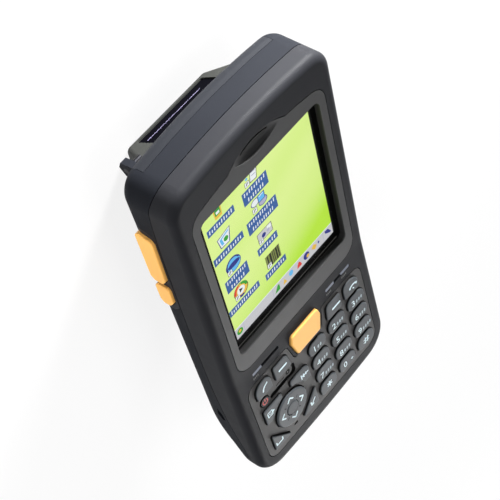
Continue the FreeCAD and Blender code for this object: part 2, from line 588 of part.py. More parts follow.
save("battery_contacts", Part.makeCompound(contacts))

# Dock connector in the lower bevel.
dock_space = box(-11.0, 11.0, -74.5, -67.0, 20, 36.2)
dock = INNER.fuse(SHELL).common(box(-10.9, 10.9, -74.4, -67.1, 20, 35.6))
dock = dock.cut(OUTER.cut(SKIN)).cut(box(-9.2, 9.2, -73.0, -68.6, 20, 33.4))
save("dock_connector", dock.removeSplitter())
pins = [box(x - 0.35, x + 0.35, -71.2, -70.4, 30.6, 33.4) for x in (-7.5, -5, -2.5, 0, 2.5, 5, 7.5)]
save("dock_pins", Part.makeCompound(pins))
rear = rear.cut(dock_space)

# Strap slot on the lower left side: a shallow pocket with a slanting lower edge under the seam.
STRAP_SLOT = [(-41.6, 27.1), (-45.6, 26.7), (-48.4, 28.4), (-48.2, 29.6), (-44.6, 28.9)]
rear = rear.cut(side_prism(STRAP_SLOT, -40.0, -HALF_W + WALL - 0.5))

# Scan head housing: a hump on the back with a sloping face for the window.
REAR_SLOPE = (REAR_KNEE[1] - REAR_TOP_Z) / (Y_TOP + 2 - REAR_KNEE[0])


def rear_z(y):
    """Height of the flat back at y."""
    return REAR_TOP_Z + (Y_TOP + 2 - y) * REAR_SLOPE


def hump_solid(inset):
    """Hump from its side view and its tapered end view."""
    top = 22.0
    i = inset
    side = side_prism([(77.9 - i * 1.15, top), (65.3 - i * 1.5, 0.0 + i), (39.0 + i * 0.4, 0.0 + i),
                       (23.0 + i * 1.3, top - 4.0 + i), (23.0 + i * 1.3, top)], -40, 40)
    z_low, z_high = 0.0 + i, top
    a, b = 19.4 - i, 19.4 - i + 0.42 * (z_high - z_low)
    pts = [V(-a, 0, z_low), V(a, 0, z_low), V(b, 0, z_high), V(-b, 0, z_high)]
    end = Part.Face(Part.makePolygon(pts + [pts[0]])).extrude(V(0, 100, 0))
    solid = side.common(end)
    keep = 2.2 - inset * 0.8
    edges = [e for e in solid.Edges if e.CenterOfMass.z < top - 0.5
             and not (abs(e.CenterOfMass.z - top) < 1)]
    return solid.makeFillet(keep, edges)


hump_outer = hump_solid(0.0)
hump_inner = hump_solid(WALL)
hump = hump_outer.cut(hump_inner).cut(OUTER)
ENGINE_HOLE = (-17.0, 17.0, 42.0, 66.0)
rear = rear.cut(box(ENGINE_HOLE[0], ENGINE_HOLE[1], ENGINE_HOLE[2], ENGINE_HOLE[3], 5, 22))

# Window in the sloping face of the hump.
SLOPE_DIR = V(0, 12.6, 22.0).normalize()
SLOPE_NORMAL = V(0, 22.0, -12.6).normalize()
WIN_ORIGIN = V(0, 65.3, 0.0) + SLOPE_DIR * 9.3
WIN_PLACE = Placement(WIN_ORIGIN, Rotation(V(1, 0, 0), SLOPE_DIR, SLOPE_NORMAL * -1, "XYZ"))
WIN_HALF_W = 16.0
WIN_HALF_H = 6.9


def window_prism(grow, d0, d1):
    """Prism on the window outline, between two depths along the face normal."""
    solid = prism(rect(-WIN_HALF_W, WIN_HALF_W, -WIN_HALF_H, WIN_HALF_H), 1.0, -d1, -d0, grow)
    solid.Placement = WIN_PLACE
    return solid


hump = hump.cut(window_prism(0.0, -1.5, 2)).cut(window_prism(-1.0, -4, 2))
window = window_prism(-FIT, -1.5, -0.5)
save("scan_window", window)
# Scan engine behind the window, on the floor of the hump.
engine = box(-13.0, 13.0, 44.0, 58.0, WALL, 13.0)
engine = engine.fuse(Part.makeCylinder(4.0, 3.0, V(0, 58.0, 7.4), V(0, 1, 0)))
save("scan_engine", engine.removeSplitter())

# Strap lug and its bar on the left of the hump.
LUG_X = -28.6
LUG_T = 2.6
BAR_R = 1.0
BAR_IN_X = -23.2
bar_at = V(LUG_X - LUG_T / 2, 73.2, 12.4)
lug = side_prism([(76.6, 14.0), (76.0, 10.6), (73.4, 9.4), (70.4, 11.4), (69.6, 17.5), (76.6, 17.5)],
                 LUG_X - LUG_T / 2, LUG_X + LUG_T / 2).cut(OUTER)
lug = lug.cut(Part.makeCylinder(BAR_R + 0.02, 2 * LUG_T, bar_at - V(LUG_T / 2, 0, 0), V(1, 0, 0)))
bar = Part.makeCylinder(BAR_R, BAR_IN_X - bar_at.x, bar_at, V(1, 0, 0))
hump = hump.cut(bar)
save("scan_head_housing", hump.removeSplitter())
save("strap_lugs", lug)
save("strap_bars", bar)

# Screws from the back through both housings.
screws = []
for x, y in SCREWS:
    z0 = (rear_z(y) if y > -46 else 21.6) + 0.7
    head = cyl(x, y, z0, z0 + 1.4, HEAD_R)
    head = head.cut(cyl(x, y, z0 - 1, z0 + 0.8, 0.75))
    length = face_height(y, FRONT_PLATE) - 1.5
    shank = cyl(x, y, z0 + 1.4, length, SCREW_R - 0.12)
    screws.append(head.fuse(shank).removeSplitter())
    rear = rear.cut(cyl(x, y, 5, z0 + 1.4, HEAD_R + 0.1)).cut(cyl(x, y, 5, 45, SCREW_R))
save("housing_screws", Part.makeCompound(screws))
save("rear_housing", rear.removeSplitter())
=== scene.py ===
import bpy
import numpy as np
from mathutils import Matrix, Vector


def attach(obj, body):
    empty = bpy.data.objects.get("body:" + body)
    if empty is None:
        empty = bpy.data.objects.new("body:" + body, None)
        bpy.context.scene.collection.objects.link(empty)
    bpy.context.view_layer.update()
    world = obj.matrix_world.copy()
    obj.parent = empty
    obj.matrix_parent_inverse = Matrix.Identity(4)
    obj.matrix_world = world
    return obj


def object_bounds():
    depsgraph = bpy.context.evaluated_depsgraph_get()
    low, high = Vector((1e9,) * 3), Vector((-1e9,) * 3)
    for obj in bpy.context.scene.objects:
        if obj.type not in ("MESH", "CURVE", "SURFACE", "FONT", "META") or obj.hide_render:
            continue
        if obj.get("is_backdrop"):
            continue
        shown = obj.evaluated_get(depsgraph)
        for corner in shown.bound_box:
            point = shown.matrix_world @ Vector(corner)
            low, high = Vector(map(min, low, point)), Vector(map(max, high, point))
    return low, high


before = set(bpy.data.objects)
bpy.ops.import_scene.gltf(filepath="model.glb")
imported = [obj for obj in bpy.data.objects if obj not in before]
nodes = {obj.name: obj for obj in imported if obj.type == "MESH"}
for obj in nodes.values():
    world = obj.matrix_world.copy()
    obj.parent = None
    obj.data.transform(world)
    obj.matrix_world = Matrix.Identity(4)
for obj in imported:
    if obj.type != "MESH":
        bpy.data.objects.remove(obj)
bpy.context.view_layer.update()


# Front housing: the charcoal half shell round the display and keypad, moulded in glass-filled polycarbonate
# with a fine spark grain. It is screwed to the rear half from behind, and closes on it at the parting line.
MM = 0.001


def moulded(name, colour, roughness, grain=0.25, depth=0.02, mottle=0.12, specular=0.12):
    """Moulded plastic: the base colour times 1 plus or minus `mottle` by a slow noise, a grain bump with
    cells of `grain` mm and a height of `depth` mm, and roughness that drifts by 0.05 with a third noise."""
    mat = bpy.data.materials.new(name)
    mat.use_nodes = True
    tree = mat.node_tree
    bsdf = tree.nodes["Principled BSDF"]
    bsdf.inputs["IOR"].default_value = 1.5
    bsdf.inputs["Specular IOR Level"].default_value = specular
    place = tree.nodes.new("ShaderNodeTexCoord")
    slow = tree.nodes.new("ShaderNodeTexNoise")
    slow.inputs["Scale"].default_value = 45.0
    slow.inputs["Detail"].default_value = 4.0
    tree.links.new(place.outputs["Object"], slow.inputs["Vector"])
    tint = tree.nodes.new("ShaderNodeMix")
    tint.data_type = "RGBA"
    tint.inputs["A"].default_value = [c * (1 - mottle) for c in colour] + [1]
    tint.inputs["B"].default_value = [min(1, c * (1 + mottle)) for c in colour] + [1]
    tree.links.new(slow.outputs["Fac"], tint.inputs["Factor"])
    tree.links.new(tint.outputs["Result"], bsdf.inputs["Base Color"])
    middling = tree.nodes.new("ShaderNodeTexNoise")
    middling.inputs["Scale"].default_value = 180.0
    middling.inputs["Detail"].default_value = 2.0
    tree.links.new(place.outputs["Object"], middling.inputs["Vector"])
    drift = tree.nodes.new("ShaderNodeMapRange")
    drift.inputs["To Min"].default_value = roughness - 0.05
    drift.inputs["To Max"].default_value = min(1, roughness + 0.05)
    tree.links.new(middling.outputs["Fac"], drift.inputs["Value"])
    tree.links.new(drift.outputs["Result"], bsdf.inputs["Roughness"])
    cells = tree.nodes.new("ShaderNodeTexNoise")
    cells.inputs["Scale"].default_value = 1 / (grain * MM)
    cells.inputs["Detail"].default_value = 1.0
    tree.links.new(place.outputs["Object"], cells.inputs["Vector"])
    bump = tree.nodes.new("ShaderNodeBump")
    bump.inputs["Strength"].default_value = 0.6
    bump.inputs["Distance"].default_value = depth * MM
    tree.links.new(cells.outputs["Fac"], bump.inputs["Height"])
    tree.links.new(bump.outputs["Normal"], bsdf.inputs["Normal"])
    return mat


def dress(mat, *names):
    """Gives CAD nodes one material in every slot."""
    for name in names:
        slots = nodes[name].data.materials
        slots.clear()
        slots.append(mat)


charcoal = moulded("charcoal_moulding", (0.0135, 0.014, 0.0165), 0.58, grain=0.45, depth=0.05,
                   specular=0.08)
dress(charcoal, "front_housing")


# Rear housing: the deep half shell with the tapered back, bevelled at the lower end and hollowed for the
# battery. It and the battery pack are the plastic of the front half, a shade darker, with a coarser grain.
charcoal_back = moulded("charcoal_back_moulding", (0.009, 0.010, 0.013), 0.6, grain=0.5, depth=0.05,
                        specular=0.05)
dress(charcoal_back, "rear_housing", "battery_pack", "strap_lugs")


# Scan head: the hump behind the top end, an olive-grey moulding with a smoother skin, and the dark strip
# across the top end, both let into the rear housing and held by its screws.
olive = moulded("olive_head_moulding", (0.024, 0.025, 0.023), 0.5, grain=0.45, depth=0.04, specular=0.08)
strip = moulded("smooth_strip_moulding", (0.011, 0.012, 0.015), 0.5, grain=0.45, depth=0.03, specular=0.10)
dress(olive, "scan_head_housing")
dress(strip, "head_strip", "battery_latch", "dock_connector", "side_key_surround", "keypad_connector")


# Scan window: a wide acrylic pane, smooth and tinted nearly black, cut from sheet and pressed into the mouth
# of the hump. It slopes down from the light and shows no reflection in the photograph, so it has none here.
def glossy(name, colour, roughness, transmission=0.0, specular=0.5):
    """Smooth sheet plastic or glass: one colour, and a low roughness broken by faint wiping marks, which are
    a noise drawn out twelve times along X."""
    mat = bpy.data.materials.new(name)
    mat.use_nodes = True
    tree = mat.node_tree
    bsdf = tree.nodes["Principled BSDF"]
    bsdf.inputs["Base Color"].default_value = (*colour, 1)
    bsdf.inputs["Transmission Weight"].default_value = transmission
    bsdf.inputs["Specular IOR Level"].default_value = specular
    place = tree.nodes.new("ShaderNodeTexCoord")
    along = tree.nodes.new("ShaderNodeMapping")
    along.inputs["Scale"].default_value = (60, 720, 720)
    tree.links.new(place.outputs["Object"], along.inputs["Vector"])
    wipe = tree.nodes.new("ShaderNodeTexNoise")
    wipe.inputs["Scale"].default_value = 1.0
    wipe.inputs["Detail"].default_value = 3.0
    tree.links.new(along.outputs["Vector"], wipe.inputs["Vector"])
    drift = tree.nodes.new("ShaderNodeMapRange")
    drift.inputs["To Min"].default_value = roughness * 0.7
    drift.inputs["To Max"].default_value = roughness * 1.3
    tree.links.new(wipe.outputs["Fac"], drift.inputs["Value"])
    tree.links.new(drift.outputs["Result"], bsdf.inputs["Roughness"])
    return mat


dress(glossy("scan_window_acrylic", (0.002, 0.002, 0.003), 0.12, specular=0.0), "scan_window")


# Display bezel: the lighter grey frame round the screen, with its curved top over the earpiece. It is a thin
# moulding snapped into the front housing. Its scoop and inner walls carry painted shade, darker with depth.
BEZEL_TOP = 39.0


def darker_below(mat, along, top, fall, least):
    """Paints shade into a material's base colour: scales it by a factor that falls from 1 at the height `top`
    to
    `least` at `fall` mm under it. The height is the place's dot product with the direction `along`."""
    tree = mat.node_tree
    bsdf = tree.nodes["Principled BSDF"]
    place = tree.nodes.new("ShaderNodeTexCoord")
    height = tree.nodes.new("ShaderNodeVectorMath")
    height.operation = "DOT_PRODUCT"
    height.inputs[1].default_value = along
    tree.links.new(place.outputs["Object"], height.inputs[0])
    factor = tree.nodes.new("ShaderNodeMapRange")
    factor.inputs["From Min"].default_value = (top - fall) * MM
    factor.inputs["From Max"].default_value = top * MM
    factor.inputs["To Min"].default_value = least
    tree.links.new(height.outputs["Value"], factor.inputs["Value"])
    scaled = tree.nodes.new("ShaderNodeVectorMath")
    scaled.operation = "SCALE"
    tree.links.new(bsdf.inputs["Base Color"].links[0].from_socket, scaled.inputs["Vector"])
    tree.links.new(factor.outputs["Result"], scaled.inputs["Scale"])
    tree.links.new(scaled.outputs["Vector"], bsdf.inputs["Base Color"])
    return mat


bezel_grey = moulded("bezel_moulding", (0.046, 0.046, 0.047), 0.5, grain=0.4, depth=0.02, mottle=0.06)
dress(darker_below(bezel_grey, (0, 0, 1), BEZEL_TOP - 0.05, fall=0.7, least=0.3), "display_bezel")


# Display: a liquid crystal module behind a black mask, with the touch glass laid over it and a thin foam
# gasket between the glass and the bezel. The picture is lit from behind, and is a plain desktop.
PICTURE_X = (-26.35, 27.5)
PICTURE_Y = (-4.75, 63.9)
PICTURE_Z = 35.32
LAYER = 0.012
WALL_TOP = (0.76, 0.95, 0.31)
WALL_DEEP = (0.50, 0.84, 0.045)
BAR_TOP_Y = 0.8
DISC_CORNERS = 28
ARC_POINTS = 14
ROW_PITCH = 3.1
MARK_HEIGHT = 1.75
MARK_STEP = 1.1


def lit(name, colour):
    """A patch of the lit picture: its colour as light, and no diffuse colour of its own."""
    mat = bpy.data.materials.new(name)
    mat.use_nodes = True
    bsdf = mat.node_tree.nodes["Principled BSDF"]
    bsdf.inputs["Base Color"].default_value = (0, 0, 0, 1)
    bsdf.inputs["Roughness"].default_value = 0.6
    bsdf.inputs["Emission Color"].default_value = (*colour, 1)
    bsdf.inputs["Emission Strength"].default_value = 1.0
    return mat


def wallpaper():
    """Lime wallpaper: a diagonal run from the pale lime to the deep lime, and broad soft ribbons from a sine
    of the height above a line that rises to the right, bent by a slow noise."""
    mat = lit("lime_wallpaper", WALL_TOP)
    tree = mat.node_tree
    bsdf = tree.nodes["Principled BSDF"]
    place = tree.nodes.new("ShaderNodeTexCoord")
    turned = tree.nodes.new("ShaderNodeMapping")
    turned.inputs["Rotation"].default_value = (0, 0, -0.42)
    turned.inputs["Location"].default_value = (0, -0.004, 0)
    turned.inputs["Scale"].default_value = (1, 1, 0)
    tree.links.new(place.outputs["Object"], turned.inputs["Vector"])
    ribbons = tree.nodes.new("ShaderNodeTexWave")
    ribbons.bands_direction = "Y"
    ribbons.wave_profile = "SIN"
    ribbons.inputs["Scale"].default_value = 14.0
    ribbons.inputs["Distortion"].default_value = 2.2
    ribbons.inputs["Detail"].default_value = 0.0
    ribbons.inputs["Detail Scale"].default_value = 0.8
    tree.links.new(turned.outputs["Vector"], ribbons.inputs["Vector"])
    split = tree.nodes.new("ShaderNodeSeparateXYZ")
    tree.links.new(turned.outputs["Vector"], split.inputs["Vector"])
    fall = tree.nodes.new("ShaderNodeMapRange")
    fall.inputs["From Min"].default_value = -0.008
    fall.inputs["From Max"].default_value = 0.014
    fall.inputs["To Min"].default_value = 0.95
    fall.inputs["To Max"].default_value = 0.0
    fall.interpolation_type = "SMOOTHSTEP"
    tree.links.new(split.outputs["Y"], fall.inputs["Value"])
    ripple = tree.nodes.new("ShaderNodeMath")
    ripple.operation = "MULTIPLY_ADD"
    ripple.inputs[1].default_value = 0.16
    tree.links.new(ribbons.outputs["Fac"], ripple.inputs[0])
    tree.links.new(fall.outputs["Result"], ripple.inputs[2])
    mix = tree.nodes.new("ShaderNodeMix")
    mix.data_type = "RGBA"
    mix.inputs["A"].default_value = (*WALL_TOP, 1)
    mix.inputs["B"].default_value = (*WALL_DEEP, 1)
    tree.links.new(ripple.outputs["Value"], mix.inputs["Factor"])
    tree.links.new(mix.outputs["Result"], bsdf.inputs["Emission Color"])
    return mat


def patch(x0, x1, y0, y1):
    """Rectangle between two corners, as one quad."""
    return np.array([(x0, y0), (x1, y0), (x1, y1), (x0, y1)], float), [(0, 1, 2, 3)]


def disc(cx, cy, rx, ry=None):
    """One face whose corners lie at equal angles round an ellipse."""
    a = np.linspace(0, 2 * np.pi, DISC_CORNERS, endpoint=False)
    return np.column_stack([cx + rx * np.cos(a), cy + (ry or rx) * np.sin(a)]), [tuple(range(DISC_CORNERS))]


def outline(*points):
    """One flat face through the given corners, in turn against the clock."""
    return np.array(points, float), [tuple(range(len(points)))]


def stroke(points, width, steps=10):
    """Ribbon along a broken line: the line is cut into equal steps, and its half width h narrows at each end
    to the square root of h squared minus the distance past the last half width squared, which rounds it."""
    pts = np.array(points, float)
    seg = np.hypot(*np.diff(pts, axis=0).T)
    run = np.concatenate([[0], np.cumsum(seg)])
    half = width / 2
    ends = half * (1 - np.cos(np.linspace(0, np.pi / 2, 5)))
    middle = np.linspace(half, run[-1] - half, steps * (len(pts) - 1))
    s = np.unique(np.concatenate([ends, run[1:-1], middle, run[-1] - ends]))
    x, y = np.interp(s, run, pts[:, 0]), np.interp(s, run, pts[:, 1])
    tx, ty = np.gradient(x), np.gradient(y)
    size = np.hypot(tx, ty)
    past = np.maximum(half - np.minimum(s, run[-1] - s), 0)
    h = np.sqrt(np.maximum(half ** 2 - past ** 2, 0)) + 1e-4
    off = np.column_stack([-ty / size * h, tx / size * h])
    mid = np.column_stack([x, y])
    n = len(s)
    faces = [(i, i + 1, n + i + 1, n + i) for i in range(n - 1)]
    return np.vstack([mid - off, mid + off]), faces


def arc(cx, cy, r, start, end):
    """Points at equal angles along a circle's arc between two angles in degrees."""
    a = np.radians(np.linspace(start, end, ARC_POINTS))
    return np.column_stack([cx + r * np.cos(a), cy + r * np.sin(a)])


def ticks(x0, x1, y0, y1, count, share=0.62, drop=0.0):
    """A run of short leaning marks at equal steps, in place of a word. Each is `share` of a step wide, and
    every third one is `drop` mm shorter."""
    step = (x1 - x0) / count
    tops = y1 - drop * (np.arange(count) % 3 == 1)
    return [stroke([(x0 + step * (i + 0.3), y0), (x0 + step * (i + 0.5), tops[i])], step * share, 3)
            for i in range(count)]


def flat_piece(name, body, shapes, materials, where):
    """One thin piece from flat shapes. Each shape is ((points, faces), material number, lift), and `where`
    turns the points' x and y and the lift, in mm, into the place in the row frame."""
    verts, faces, kinds = [], [], []
    count = 0
    for (pts, quads), kind, lift in shapes:
        verts.append(where(pts[:, 0], pts[:, 1], np.full(len(pts), lift)))
        faces += [tuple(i + count for i in f) for f in quads]
        kinds += [kind] * len(quads)
        count += len(pts)
    mesh = bpy.data.meshes.new(name)
    mesh.from_pydata((np.vstack(verts) * MM).tolist(), [], faces)
    for mat in materials:
        mesh.materials.append(mat)
    mesh.polygons.foreach_set("material_index", kinds)
    mesh.update()
    piece = bpy.data.objects.new(name, mesh)
    bpy.context.scene.collection.objects.link(piece)
    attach(piece, body)


def on_screen(x, y, lift):
    """Places points on the picture, `lift` layers above its own plane."""
    return np.column_stack([x, y, PICTURE_Z + LAYER * lift])


screen_paints = [
    wallpaper(),
    lit("screen_grey", (0.60, 0.60, 0.63)),
    lit("screen_label_blue", (0.035, 0.115, 0.36)),
    lit("screen_white", (0.86, 0.90, 0.92)),
    lit("screen_sky", (0.13, 0.50, 0.90)),
    lit("screen_navy", (0.02, 0.03, 0.25)),
    lit("screen_green", (0.03, 0.36, 0.03)),
    lit("screen_red", (0.75, 0.05, 0.03)),
    lit("screen_gold", (0.85, 0.52, 0.06)),
    lit("screen_black", (0.01, 0.01, 0.008)),
    lit("screen_lilac", (0.45, 0.45, 0.62)),
    lit("screen_olive", (0.20, 0.24, 0.06)),
    lit("mask_painted_glow_line", (0.055, 0.053, 0.050)),
]
WALL, GREY, LABEL, WHITE, SKY, NAVY, GREEN, RED, GOLD, BLACK, LILAC, OLIVE, MASK_GLOW = range(len(screen_paints))

screen = [
    (patch(*PICTURE_X, BAR_TOP_Y, PICTURE_Y[1]), WALL, 0),
    (patch(*PICTURE_X, PICTURE_Y[0], BAR_TOP_Y), GREY, 0),
    (patch(*PICTURE_X, BAR_TOP_Y - 0.35, BAR_TOP_Y), WHITE, 1),
    (patch(-22.1, -21.9, -4.4, 0.2), LILAC, 1),
    (patch(-6.2, -6.0, -4.4, 0.2), LILAC, 1),
    (patch(22.2, 22.4, -4.4, 0.2), LILAC, 1),
    # Painted light: two dim grey lines that glow on the black mask below the picture, which is not lit there.
    (patch(-27.6, 28.6, -8.8, -8.25), MASK_GLOW, 1),
    (patch(-27.6, 28.6, -10.4, -10.25), MASK_GLOW, 1),
]
# Name bars under the icons, with rows of plain upright marks in place of words.
for x0, x1, y0, y1 in [(-25.0, -11.9, 50.3, 53.5), (-25.9, -11.3, 36.2, 39.6), (-24.3, -13.0, 19.5, 25.5),
                       (-26.3, -10.6, 8.3, 11.4), (-7.8, 4.5, 47.3, 53.4), (-9.1, 5.9, 33.6, 39.8),
                       (-7.7, 2.5, 21.0, 24.4), (-7.3, 3.6, 6.8, 10.0)]:
    screen.append((patch(x0, x1, y0, y1), LABEL, 1))
    rows = round((y1 - y0) / ROW_PITCH)
    for row in range(rows):
        low = y0 + (row + 0.24) * (y1 - y0) / rows
        ends = 0.7 + 1.3 * (rows - 1 - row) * (rows > 1)
        count = int((x1 - x0 - 2 * ends) / MARK_STEP)
        marks = ticks(x0 + ends, x1 - ends, low, low + MARK_HEIGHT, count, share=0.4, drop=0.5)
        screen += [(mark, WHITE, 2) for mark in marks]
# Hand-held device, bin, globe and play disc, in the left column.
screen += [
    (outline((-20.2, 54.4), (-17.0, 54.4), (-16.6, 60.2), (-20.6, 60.2)), GOLD, 1),
    (patch(-19.9, -17.3, 55.7, 59.5), GREEN, 2),
    (patch(-19.4, -17.8, 56.2, 57.4), WHITE, 3),
    (outline((-21.5, 41.0), (-17.1, 40.7), (-15.6, 47.2), (-22.2, 45.9)), NAVY, 0.5),
    (outline((-21.2, 41.3), (-17.4, 41.0), (-16.0, 46.9), (-21.9, 45.6)), WHITE, 1),
    (outline((-20.8, 42.0), (-19.6, 41.9), (-20.2, 45.2), (-21.2, 45.0)), SKY, 2),
    (stroke([(-20.6, 44.9), (-16.6, 46.0)], 0.6), SKY, 2),
    (disc(-18.4, 43.4, 1.1), GREEN, 2),
    (disc(-18.6, 29.8, 3.7, 3.3), NAVY, 0.5),
    (disc(-18.6, 29.8, 3.4, 3.0), SKY, 1),
    (disc(-18.4, 29.8, 3.0, 1.2), NAVY, 2),
    (stroke(arc(-18.6, 29.8, 3.2, 20, 200), 0.7), NAVY, 2),
    (disc(-18.7, 15.6, 3.6, 3.4), BLACK, 0.5),
    (disc(-18.7, 15.6, 3.3, 3.1), GOLD, 1),
    (stroke(arc(-18.7, 15.6, 2.9, 100, 190), 1.1), RED, 2),
    (stroke(arc(-18.7, 15.6, 2.9, 200, 290), 1.1), NAVY, 2),
    (stroke(arc(-18.7, 15.6, 2.9, 0, 80), 1.1), GREEN, 2),
    (disc(-18.7, 15.6, 1.9), WHITE, 3),
    (outline((-19.4, 14.7), (-17.7, 15.7), (-19.4, 16.7)), BLACK, 4),
]
# Note sheet, linked machines, camera and bar pattern, in the right column.
screen += [
    (outline((-3.2, 54.6), (0.2, 54.2), (1.4, 60.4), (-2.0, 60.6)), BLACK, 1),
    (outline((-2.9, 54.9), (0.0, 54.5), (1.1, 60.1), (-1.8, 60.3)), WHITE, 2),
    (stroke([(-2.0, 57.0), (0.0, 56.8)], 0.4), LILAC, 3),
    (stroke([(-1.8, 58.4), (0.2, 58.2)], 0.4), LILAC, 3),
    (disc(0.2, 59.2, 0.5), RED, 3),
    (disc(-4.2, 57.6, 0.6), SKY, 1),
    (disc(-3.2, 44.9, 2.1, 1.7), NAVY, 0.5),
    (disc(-3.2, 44.9, 1.8, 1.4), WHITE, 1),
    (disc(0.2, 42.6, 2.2, 1.8), NAVY, 0.5),
    (disc(0.2, 42.6, 1.9, 1.5), LILAC, 1),
    (patch(-1.9, 1.6, 43.1, 46.5), NAVY, 1.5),
    (patch(-1.6, 1.3, 43.4, 46.2), SKY, 2),
    (stroke([(-1.2, 45.6), (0.9, 45.9)], 0.4), WHITE, 3),
    (patch(-6.2, 1.2, 26.2, 30.7), BLACK, 0.5),
    (patch(-6.0, 1.0, 26.4, 30.5), GREY, 1),
    (patch(-1.2, 0.8, 28.6, 30.3), WHITE, 1.5),
    (disc(-3.2, 28.1, 1.0), NAVY, 2),
    (disc(-0.9, 28.4, 0.7), LILAC, 2),
    (patch(-5.5, 1.9, 11.2, 17.6), OLIVE, 1),
]
for x0, width in [(-4.6, 0.5), (-3.3, 0.8), (-1.9, 0.3), (-1.1, 0.3), (-0.2, 0.7), (0.9, 0.5)]:
    screen.append((patch(x0, x0 + width, 11.4, 17.4), BLACK, 2))
for x, y in [(-4.4, 55.4), (-4.1, 41.8), (-20.9, 27.5), (-4.9, 26.2), (-20.9, 13.6), (-4.2, 12.2)]:
    screen.append((patch(x - 1.15, x + 1.15, y - 1.15, y + 1.15), BLACK, 2.5))
    screen.append((patch(x - 1.0, x + 1.0, y - 1.0, y + 1.0), WHITE, 3))
    screen.append((stroke([(x - 0.5, y - 0.5), (x + 0.1, y + 0.4), (x + 0.6, y + 0.3)], 0.4), BLACK, 4))
# Start disc and small signs on the task bar.
screen += [
    (disc(-24.2, -2.0, 1.5), GREEN, 2),
    (disc(-24.2, -1.8, 0.7), GOLD, 3),
    (outline((-5.2, -3.4), (-2.4, -3.4), (-2.4, -0.6), (-3.2, -0.4)), GREEN, 2),
    (outline((-0.6, -3.4), (1.4, -3.4), (0.3, -0.9)), GOLD, 2),
    (disc(4.0, -1.7, 1.1, 1.3), SKY, 2),
    (outline((7.2, -3.3), (9.8, -3.3), (9.4, -1.6), (8.6, -0.6), (7.6, -1.8)), RED, 2),
    (disc(12.7, -1.8, 1.6, 1.7), NAVY, 2),
    (disc(13.4, -2.4, 0.8), GOLD, 3),
    (outline((15.6, -1.6), (17.4, -3.4), (18.6, -1.7), (16.9, -0.3)), GOLD, 2),
    (outline((19.1, -1.8), (19.6, -2.5), (20.2, -1.7), (19.6, -1.0)), NAVY, 2),
    (outline((23.4, -0.2), (23.6, -1.6), (26.0, -3.2), (26.6, -2.8), (25.2, -0.4)), NAVY, 2),
]
flat_piece("screen_picture", "terminal", screen, screen_paints, on_screen)

dress(glossy("touch_glass", (1, 1, 1), 0.03, transmission=1.0, specular=0.15), "touch_panel")
dress(glossy("display_mask", (0.004, 0.004, 0.005), 0.35, specular=0.05), "display_module")
dress(moulded("foam_gasket", (0.012, 0.012, 0.013), 0.8, grain=0.15, depth=0.02), "display_gasket")


# Aiming line: a thin pale streak along the lower half of the scan window, taken as the ground edge of the
# scan mirror behind it. It is drawn on the face of the pane.
PANE_SLOPE = np.arctan2(12.6, 22.0)
PANE_CENTRE = (0.55, 69.48, 8.32)
INK_LIFT = 0.02


def on_window(x, t, lift):
    """Places points on the sloping pane: t runs up its face and w out of it, so that for the slope s
    y = centre + t sin s + w cos s and z = centre + t cos s - w sin s."""
    w = INK_LIFT + LAYER * lift
    y = PANE_CENTRE[1] + t * np.sin(PANE_SLOPE) + w * np.cos(PANE_SLOPE)
    z = PANE_CENTRE[2] + t * np.cos(PANE_SLOPE) - w * np.sin(PANE_SLOPE)
    return np.column_stack([PANE_CENTRE[0] + x, y, z])


streak = moulded("pale_streak_colour", (0.20, 0.18, 0.30), 0.4, grain=0.15, depth=0.004)
streak_line = stroke([(-14.5, -2.75), (11.0, -2.35)], 0.28)
flat_piece("pale_window_streak", "terminal", [(streak_line, 0, 0)], [streak], on_window)


# Keypad panel: the thin grey moulding with an opening for each key, snapped into the front housing on a slope
# of its own. The walls of its openings carry painted shade, darkening to near black below its face.
KEY_TILT = np.radians(2.5)
FOLD_Y = -19.75
FACE_Z = 39.0
KEYPAD_UP = (0, np.sin(KEY_TILT), np.cos(KEY_TILT))
PLANE_UP = FOLD_Y * np.sin(KEY_TILT) + FACE_Z * np.cos(KEY_TILT)
panel_grey = moulded("keypad_panel_moulding", (0.043, 0.042, 0.042), 0.5, grain=0.4, depth=0.02, mottle=0.06)
dress(darker_below(panel_grey, KEYPAD_UP, PLANE_UP - 0.04, fall=0.35, least=0.08), "keypad_panel")


# Keys: each is a hard cap in slate grey with a flange under the panel and a stem on its dome. The signs are
# printed in pale ink and are drawn plain: numbers, handsets, arrows and strokes, with no words.
slate = moulded("slate_key_cap", (0.050, 0.056, 0.062), 0.45, grain=0.2, depth=0.006, mottle=0.05)
ink = moulded("pale_key_ink", (0.62, 0.76, 0.80), 0.5, grain=0.15, depth=0.004, mottle=0.04)
dim_ink = moulded("dim_key_ink", (0.30, 0.37, 0.40), 0.5, grain=0.15, depth=0.004, mottle=0.04)
red_ink = moulded("red_power_ink", (0.50, 0.085, 0.085), 0.5, grain=0.15, depth=0.004, mottle=0.04)
KEY_TOP = 0.8
slate_keys = ["key_%d" % i for i in range(10)] + [
    "key_star", "key_hash", "key_call", "key_end", "key_soft_left", "key_soft_right", "key_lock", "key_back",
    "key_space", "key_enter", "key_power", "nav_ring", "nav_centre"]
# Painted shade: each cap's colour darkens to near black down its sides, below its top.
dress(darker_below(slate, KEYPAD_UP, PLANE_UP + KEY_TOP - 0.14, fall=0.22, least=0.03), *slate_keys)


def on_keypad(top):
    """Places points on the tilted key plane `top` mm above the face: v runs up the face from the fold and w
    out of it, so y = fold + v cos t + w sin t and z = face - v sin t + w cos t."""
    def where(x, v, lift):
        w = top + INK_LIFT + LAYER * lift
        y = FOLD_Y + v * np.cos(KEY_TILT) + w * np.sin(KEY_TILT)
        return np.column_stack([x, y, FACE_Z - v * np.sin(KEY_TILT) + w * np.cos(KEY_TILT)])
    return where


